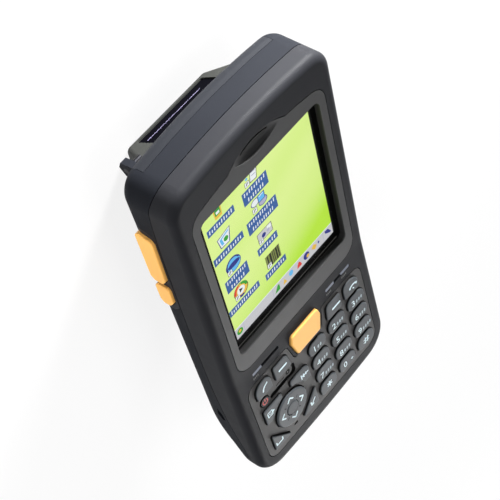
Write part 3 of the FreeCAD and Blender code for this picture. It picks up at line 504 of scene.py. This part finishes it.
def glyph(sign, height, cx, cy, widen=1.0):
    """A number's outline from the plain built-in face, scaled so that it is `height` tall and centred, and
    then drawn out `widen` times sideways."""
    curve = bpy.data.curves.new("sign", "FONT")
    curve.body = sign
    curve.resolution_u = 3
    made = bpy.data.objects.new("sign", curve)
    bpy.context.scene.collection.objects.link(made)
    bpy.context.view_layer.update()
    mesh = bpy.data.meshes.new_from_object(made.evaluated_get(bpy.context.evaluated_depsgraph_get()))
    co = np.zeros(len(mesh.vertices) * 3)
    mesh.vertices.foreach_get("co", co)
    pts = co.reshape(-1, 3)[:, :2]
    faces = [tuple(p.vertices) for p in mesh.polygons]
    bpy.data.objects.remove(made)
    bpy.data.meshes.remove(mesh)
    bpy.data.curves.remove(curve)
    low, high = pts.min(0), pts.max(0)
    pts = (pts - (low + high) / 2) * height / (high[1] - low[1])
    return pts * (widen, 1) + (cx, cy), faces


COLUMN_X = (3.5, 15.3, 27.1)
ROW_V = (-23.35, -32.0, -40.7, -48.85)
NUMBER_HEIGHT = 2.9
LETTER_STEP = 1.35
LETTERS = {1: 2, 2: 3, 3: 3, 4: 3, 5: 3, 6: 3, 7: 4, 8: 3, 9: 4}
for number, letters in LETTERS.items():
    cx = COLUMN_X[(number - 1) % 3]
    v = ROW_V[(number - 1) // 3]
    group = ticks(cx - 0.3, cx - 0.3 + LETTER_STEP * letters, v - 1.3, v + 0.25, letters)
    number_sign = glyph(str(number), NUMBER_HEIGHT, cx - 1.75, v, widen=1.05)
    marks = [(number_sign, 0, 0)] + [(mark, 1, 0) for mark in group]
    flat_piece("sign_%d" % number, "moving_key_%d" % number, marks, [ink, dim_ink], on_keypad(KEY_TOP))

legends = {
    "key_0": [glyph("0", NUMBER_HEIGHT, 13.85, -48.8), stroke([(17.2, -49.4), (18.6, -49.4)], 0.5),
              stroke([(17.9, -48.8), (17.9, -50.0)], 0.4)],
    "key_star": [stroke([(2.4, -49.6), (5.2, -48.0)], 0.62), stroke([(2.4, -48.0), (5.2, -49.6)], 0.62),
                 stroke([(3.8, -47.3), (3.8, -50.4)], 0.62)],
    "key_hash": [stroke([(26.3, -50.4), (26.9, -47.2)], 0.5), stroke([(27.7, -50.4), (28.3, -47.2)], 0.5),
                 stroke([(25.6, -48.2), (29.0, -48.2)], 0.45), stroke([(25.4, -49.5), (28.8, -49.5)], 0.45)],
    "key_call": [stroke(arc(-22.9, -15.9, 3.1, 165, 95), 0.72), stroke([(-26.1, -14.9), (-25.7, -15.5)], 1.0),
                 stroke([(-23.7, -12.5), (-23.0, -12.9)], 1.0)],
    "key_end": [stroke(arc(27.45, -17.0, 3.3, 45, 135), 0.8), stroke([(25.2, -14.9), (25.9, -14.4)], 1.0),
                stroke([(29.0, -14.4), (29.7, -14.9)], 1.0), stroke([(27.0, -15.3), (27.7, -16.0)], 0.6)],
    "key_soft_left": [stroke([(-16.9, -14.25), (-12.1, -14.25)], 0.95)],
    "key_soft_right": [stroke([(14.7, -14.45), (19.6, -14.45)], 0.95)],
    "key_lock": [stroke([(-27.6, -28.0), (-25.2, -28.0), (-25.2, -30.4), (-27.6, -30.4), (-27.6, -28.0)],
                        0.45),
                 stroke([(-26.7, -28.6), (-26.7, -29.8)], 0.35),
                 stroke([(-26.0, -28.6), (-26.0, -29.8)], 0.35),
                 outline((-24.9, -30.0), (-23.9, -29.3), (-24.9, -28.4))],
    "key_back": [outline((-6.5, -30.8), (-6.5, -28.4), (-7.8, -29.6)),
                 stroke([(-7.2, -29.6), (-4.0, -29.6)], 0.6),
                 stroke([(-5.5, -30.4), (-5.5, -28.8)], 0.5), stroke([(-8.0, -30.9), (-8.0, -28.2)], 0.45)],
    "key_space": [stroke([(-28.3, -47.0), (-28.3, -48.6), (-24.9, -48.6), (-24.9, -47.0)], 0.6)],
    "key_enter": [stroke([(-4.7, -46.6), (-6.9, -48.8)], 0.6),
                  stroke([(-7.5, -47.2), (-7.3, -49.2), (-6.0, -49.1)], 0.7)],
}
for name, marks in legends.items():
    flat_piece("sign_" + name, "moving_" + name, [(m, 0, 0) for m in marks], [ink], on_keypad(KEY_TOP))


# Signs of the steering ring and the power button: four chevrons with short black nicks between them on the
# ring, and a broken red circle with a stroke on the button. They are printed like those of the keys.
RING_TOP = 1.1
POWER_TOP = 0.3
RING_CENTRE = (-16.3, -38.4)
CHEVRON_R = 5.85
NICK_R = (4.0, 5.4)


def chevron(turn):
    """A bent stroke that points away from the ring's centre, turned about it by `turn` degrees."""
    a = np.radians(turn)
    turned = np.array([(np.cos(a), np.sin(a)), (-np.sin(a), np.cos(a))])
    arm = np.array([(-1.65, CHEVRON_R - 1.45), (0, CHEVRON_R + 0.35), (1.65, CHEVRON_R - 1.45)]) @ turned
    return stroke(arm + RING_CENTRE, 0.66)


# Black ink for the ring's nicks, used below also as painted shade in the recess and round the small hole.
black_ink_and_shade = moulded("black_ink_and_painted_shade", (0.004, 0.004, 0.004), 0.6, grain=0.15, depth=0.004, specular=0.05)
nicks = [stroke(np.outer(NICK_R, (np.cos(a), np.sin(a))) + RING_CENTRE, 0.4)
         for a in np.radians((45, 135, 225, 315))]
ring_signs = [(chevron(turn), 0, 0) for turn in (0, 90, 180, 270)] + [(nick, 1, 0) for nick in nicks]
flat_piece("sign_nav_ring", "moving_nav_ring", ring_signs, [ink, black_ink_and_shade], on_keypad(RING_TOP))
power_sign = [(stroke(arc(-26.3, -21.6, 1.25, 125, 415), 0.5), 0, 0),
              (stroke([(-26.3, -21.5), (-26.3, -20.1)], 0.5), 0, 0)]
flat_piece("sign_key_power", "moving_key_power", power_sign, [red_ink], on_keypad(POWER_TOP))


# Panel marks: the floor of the long recess in black as painted shade, a black disc round the small hole as
# painted shade with a grey dot at its centre as a painted highlight, a row of black marks under the left
# upper key, and grey ones beside the status windows. The two rows of marks are printed in a thin ink.
PANEL_TOP = 0.0
RECESS_FLOOR = -0.7
HOLE_CENTRE = (-12.6, -20.4)
# Grey ink for the marks by the status windows, used also as a painted highlight at the small hole's centre.
grey_ink_and_highlight = moulded("grey_ink_and_painted_highlight", (0.10, 0.10, 0.10), 0.5, grain=0.15, depth=0.004)
# Painted shade: the recess floor is coloured black.
recess_floor = [(patch(-23.6, -9.6, -23.8, -22.3), 0, 0), (patch(-11.1, -9.6, -22.3, -19.2), 0, 0)]
flat_piece("recess_floor_painted_shade", "terminal", recess_floor, [black_ink_and_shade], on_keypad(RECESS_FLOOR))
# Painted shade round the small hole in black, and a painted highlight in grey at its centre.
marks = [(disc(*HOLE_CENTRE, 1.15), 0, 0), (disc(*HOLE_CENTRE, 0.35), 1, 1)]
marks += [(mark, 0, 0) for mark in ticks(-19.4, -14.8, -21.2, -20.2, 7)]
flat_piece("panel_marks", "terminal", marks, [black_ink_and_shade, grey_ink_and_highlight], on_keypad(PANEL_TOP))
light_marks = [(mark, 0, 0) for x0 in (-27.6, 14.6, 23.6) for mark in ticks(x0, x0 + 3.0, -6.5, -5.5, 4)]
flat_piece("light_marks", "terminal", light_marks, [grey_ink_and_highlight], on_keypad(PANEL_TOP))


# Scan key and side keys: satin orange caps, moulded through. The one on the face is a six-sided button with
# painted shade down its sides, and the pair on the left wall is a rocker beside a single key, in a black
# surround.
orange = moulded("orange_side_key", (0.90, 0.47, 0.12), 0.4, grain=0.2, depth=0.004, mottle=0.05)
dress(orange, "side_rocker", "side_key")
scan_orange = moulded("orange_scan_key", (0.93, 0.50, 0.13), 0.4, grain=0.2, depth=0.004, mottle=0.05)
dress(darker_below(scan_orange, KEYPAD_UP, PLANE_UP + 1.1, fall=0.8, least=0.45), "key_scan")


# Status lights: three small windows of smoked acrylic over lamps on the keypad board, pressed into the ends
# of the slots above the keypad.
dress(glossy("smoked_light_window", (0.17, 0.19, 0.24), 0.25), "status_lights")


# Metal fittings: the blackened steel strap bar pressed through its lug, the screws and the shield in bright
# zinc over steel, and the gilt contacts, all drawn or stamped.
def metal(name, colour, roughness):
    """Plated metal with fine drawn lines along Y, which are a noise drawn out forty times that way."""
    mat = glossy(name, colour, roughness)
    mat.node_tree.nodes["Principled BSDF"].inputs["Metallic"].default_value = 1.0
    mat.node_tree.nodes["Mapping"].inputs["Scale"].default_value = (2400, 60, 2400)
    return mat


dress(metal("zinc_steel", (0.62, 0.62, 0.64), 0.3), "housing_screws", "processor_shield")
dress(metal("blackened_steel", (0.022, 0.022, 0.025), 0.45), "strap_bars")
dress(metal("gold_contact", (0.95, 0.70, 0.32), 0.25), "dock_pins", "battery_contacts", "antenna")


# Inner parts: glass-fibre boards, the dome sheet under the keys, the scan engine and the small drives, all
# held between the two halves and seen only where a slot or a well opens on them.
board = moulded("green_board_mask", (0.010, 0.085, 0.040), 0.35, grain=1.2, depth=0.01, mottle=0.3)
dress(board, "main_board", "keypad_board", "side_key_board")
# The dome sheet is coloured near black as painted shade, so that the wells round the keys look shadowed.
dome_film = moulded("dome_film_painted_shade", (0.006, 0.006, 0.006), 0.6, grain=2.0, depth=0.02, specular=0.05)
dress(dome_film, "dome_sheet")
rubber = moulded("black_rubber", (0.014, 0.014, 0.015), 0.85, grain=0.3, depth=0.02)
dress(rubber, "earpiece", "microphone", "vibration_motor", "backup_cell", "scan_engine",
      "board_to_display_frame")


# Studio: a pale paper floor under the terminal and a bright low field round it that fades to a dim ceiling,
# as in a light tent. A broad soft lamp hangs overhead, with smaller ones beyond each end and to the left.
FLOOR_HALF = 3.0
FLOOR_Z = -0.00005
PAPER_GREY = 0.86
PAPER_GLOW = 0.8
ROOM_LIGHT = 0.25
LAMP_AIM = (0, 0, 0.02)
floor_mesh = bpy.data.meshes.new("floor")
floor_corners = [(x * FLOOR_HALF, y * FLOOR_HALF, FLOOR_Z) for x, y in ((-1, -1), (1, -1), (1, 1), (-1, 1))]
floor_mesh.from_pydata(floor_corners, [], [(0, 1, 2, 3)])
floor = bpy.data.objects.new("floor", floor_mesh)
bpy.context.scene.collection.objects.link(floor)
floor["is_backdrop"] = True


def seen(tree, mirrored):
    """Node output that is 1 where the camera looks, `mirrored` where a mirror or see-through ray looks, and 0
    where light is gathered."""
    path = tree.nodes.new("ShaderNodeLightPath")
    either = tree.nodes.new("ShaderNodeMath")
    either.operation = "MAXIMUM"
    tree.links.new(path.outputs["Is Glossy Ray"], either.inputs[0])
    tree.links.new(path.outputs["Is Transmission Ray"], either.inputs[1])
    part = tree.nodes.new("ShaderNodeMath")
    part.operation = "MULTIPLY_ADD"
    part.inputs[1].default_value = mirrored
    tree.links.new(either.outputs["Value"], part.inputs[0])
    tree.links.new(path.outputs["Is Camera Ray"], part.inputs[2])
    return part.outputs["Value"]


paper = bpy.data.materials.new("pale_paper")
paper.use_nodes = True
tree = paper.node_tree
tree.nodes.remove(tree.nodes["Principled BSDF"])
matt = tree.nodes.new("ShaderNodeBsdfDiffuse")
matt.inputs["Color"].default_value = (PAPER_GREY, PAPER_GREY, PAPER_GREY, 1)
glow = tree.nodes.new("ShaderNodeEmission")
glow.inputs["Strength"].default_value = 1.0
share = tree.nodes.new("ShaderNodeMath")
share.operation = "MULTIPLY"
share.inputs[1].default_value = PAPER_GLOW
tree.links.new(seen(tree, mirrored=0.3), share.inputs[0])
blend = tree.nodes.new("ShaderNodeMixShader")
tree.links.new(share.outputs["Value"], blend.inputs["Fac"])
tree.links.new(matt.outputs["BSDF"], blend.inputs[1])
tree.links.new(glow.outputs["Emission"], blend.inputs[2])
tree.links.new(blend.outputs["Shader"], tree.nodes["Material Output"].inputs["Surface"])
floor_mesh.materials.append(paper)

world = bpy.data.worlds.new("tent")
bpy.context.scene.world = world
world.use_nodes = True
tree = world.node_tree
back = tree.nodes["Background"]
place = tree.nodes.new("ShaderNodeTexCoord")
split = tree.nodes.new("ShaderNodeSeparateXYZ")
tree.links.new(place.outputs["Generated"], split.inputs["Vector"])
height = tree.nodes.new("ShaderNodeMapRange")
height.inputs["From Min"].default_value = 0.18
height.inputs["From Max"].default_value = 0.42
height.inputs["To Min"].default_value = 1.0
height.inputs["To Max"].default_value = 0.12
tree.links.new(split.outputs["Z"], height.inputs["Value"])
level = tree.nodes.new("ShaderNodeMix")
level.inputs["A"].default_value = ROOM_LIGHT
tree.links.new(seen(tree, mirrored=1.0), level.inputs["Factor"])
tree.links.new(height.outputs["Result"], level.inputs["B"])
tree.links.new(level.outputs["Result"], back.inputs["Strength"])
back.inputs["Color"].default_value = (1, 1, 1, 1)


def lamp(name, at, size, power, mirrored=True):
    """A square soft lamp at a place, facing the terminal. If it isn't mirrored, it leaves no white patch on
    the glass."""
    light = bpy.data.lights.new(name, "AREA")
    light.size = size
    light.energy = power
    made = bpy.data.objects.new(name, light)
    made.location = at
    made.visible_camera = False
    made.visible_glossy = mirrored
    made.rotation_mode = "QUATERNION"
    made.rotation_quaternion = (made.location - Vector(LAMP_AIM)).to_track_quat("Z", "Y")
    bpy.context.scene.collection.objects.link(made)


lamp("overhead", (0.1, 0.0, 1.1), 0.9, 5.0)
lamp("far_end", (0.27, 0.36, 0.04), 0.07, 11.0)
lamp("low_end", (0.27, -0.85, 0.27), 0.3, 2.8)
lamp("left", (-0.8, 0.15, 0.4), 0.5, 5.0, mirrored=False)


# Camera: a long lens beyond the top end and the left wall, turned so that the terminal leans as it does in
# the photograph. It looks at a point inside the body, under the lower end of the screen.
CAMERA_AT = Vector((-0.19540, 0.40625, 0.27118))
CAMERA_AIM = Vector((0.002059, 0.002408, 0.02))
CAMERA_ROLL = np.radians(118.7832)
camera = bpy.data.cameras.new("camera")
camera.sensor_width = 36.0
camera.lens = 106.92
camera.clip_start = 0.01
eye = bpy.data.objects.new("camera", camera)
bpy.context.scene.collection.objects.link(eye)
upright = (CAMERA_AT - CAMERA_AIM).to_track_quat("Z", "Y").to_matrix().to_4x4()
eye.matrix_world = Matrix.Translation(CAMERA_AT) @ upright @ Matrix.Rotation(CAMERA_ROLL, 4, "Z")
bpy.context.scene.camera = eye
bpy.context.scene.view_settings.view_transform = "Standard"

low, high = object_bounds()
